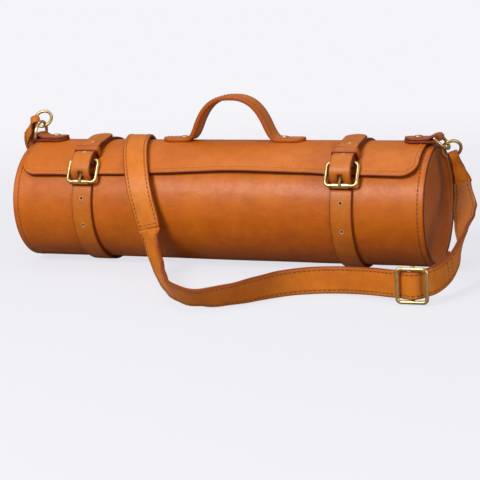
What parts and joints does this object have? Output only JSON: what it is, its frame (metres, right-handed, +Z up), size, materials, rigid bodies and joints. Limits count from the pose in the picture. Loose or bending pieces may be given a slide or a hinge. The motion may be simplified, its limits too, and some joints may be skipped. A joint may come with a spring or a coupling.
{
  "type": "brush roll case",
  "caption": "Round leather tube case for brushes with a buckled flap, riveted top handle and an adjustable shoulder strap on metal rings.",
  "frame": {"origin": "middle of the case's footprint, on the surface that it lies on", "axes": "+X along the tube towards its right end seen from the buckled front, -Y towards the buckled front, +Z up"},
  "size_m": [0.5115, 0.3278, 0.1724],
  "materials": {
    "leather": "smooth waxed tan",
    "lining_leather": "matt brown",
    "strap_leather": "smooth light tan",
    "brass": "antique satin"
  },
  "bodies": {
    "barrel": {"barrel_panel": "leather", "end_cap_left": "lining_leather", "end_cap_right": "lining_leather", "flap_anchor": "leather", "shoulder_strap": "strap_leather", "strap_return": "strap_leather", "buckle_strap_root_left": "leather", "billet_left": "leather", "billet_rivet_left": "brass", "buckle_strap_root_right": "leather", "billet_right": "leather", "billet_rivet_right": "brass"},
    "flap": {"flap": "leather", "handle": "leather", "handle_rivets": "brass", "buckle_strap_left": "leather", "billet_tail_left": "leather", "keeper_left": "leather", "buckle_frame_left": "brass", "ring_tab_left": "leather", "tab_rivet_left": "brass", "buckle_strap_right": "leather", "billet_tail_right": "leather", "keeper_right": "leather", "buckle_frame_right": "brass", "ring_tab_right": "leather", "tab_rivet_right": "brass"},
    "roller_left": {"buckle_roller_left": "brass"},
    "prong_left": {"buckle_prong_left": "brass"},
    "dee_left": {"dee_ring_left": "brass"},
    "ring_left": {"round_ring_left": "brass", "strap_loop_left": "strap_leather"},
    "roller_right": {"buckle_roller_right": "brass"},
    "prong_right": {"buckle_prong_right": "brass"},
    "dee_right": {"dee_ring_right": "brass"},
    "ring_right": {"round_ring_right": "brass", "strap_loop_right": "strap_leather"},
    "slider": {"slider_frame": "brass", "slider_bar": "brass"}
  },
  "joints": [
    {"name": "flap_fold", "type": "hinge", "parent": "barrel", "child": "flap", "pos_m": [0, 0.02261, 0.12471], "axis": [-1, 0, 0], "range_deg": [0, 120], "deforming": ["shoulder_strap"]},
    {"name": "roller_spin_left", "type": "hinge", "parent": "flap", "child": "roller_left", "pos_m": [-0.139, -0.05896, 0.09136], "axis": [1, 0, 0], "continuous": true},
    {"name": "prong_lift_left", "type": "hinge", "parent": "flap", "child": "prong_left", "pos_m": [-0.139, -0.04738, 0.11166], "axis": [-1, 0, 0], "range_deg": [0, 10]},
    {"name": "dee_swing_left", "type": "hinge", "parent": "flap", "child": "dee_left", "pos_m": [-0.2125, -0.003, 0.1306], "axis": [0, 1, 0], "range_deg": [-15, 35]},
    {"name": "ring_swing_left", "type": "hinge", "parent": "dee_left", "child": "ring_left", "pos_m": [-0.21097, 0.00445, 0.14304], "axis": [0.075, -0.788, 0.6111], "range_deg": [-15, 12]},
    {"name": "roller_spin_right", "type": "hinge", "parent": "flap", "child": "roller_right", "pos_m": [0.139, -0.05896, 0.09136], "axis": [1, 0, 0], "continuous": true},
    {"name": "prong_lift_right", "type": "hinge", "parent": "flap", "child": "prong_right", "pos_m": [0.139, -0.04738, 0.11166], "axis": [-1, 0, 0], "range_deg": [0, 10]},
    {"name": "dee_swing_right", "type": "hinge", "parent": "flap", "child": "dee_right", "pos_m": [0.221, -0.003, 0.1306], "axis": [0, -1, 0], "range_deg": [-2, 60]},
    {"name": "ring_swing_right", "type": "hinge", "parent": "dee_right", "child": "ring_right", "pos_m": [0.22971, 0.00445, 0.12158], "axis": [-0.4277, 0.788, 0.4429], "range_deg": [-20, 6]},
    {"name": "slider_slide", "type": "slide", "parent": "barrel", "child": "slider", "axis": [0.9997, 0.0256, 0], "range_m": [-0.012, 0.012], "deforming": ["shoulder_strap", "strap_return"]}
  ]
}
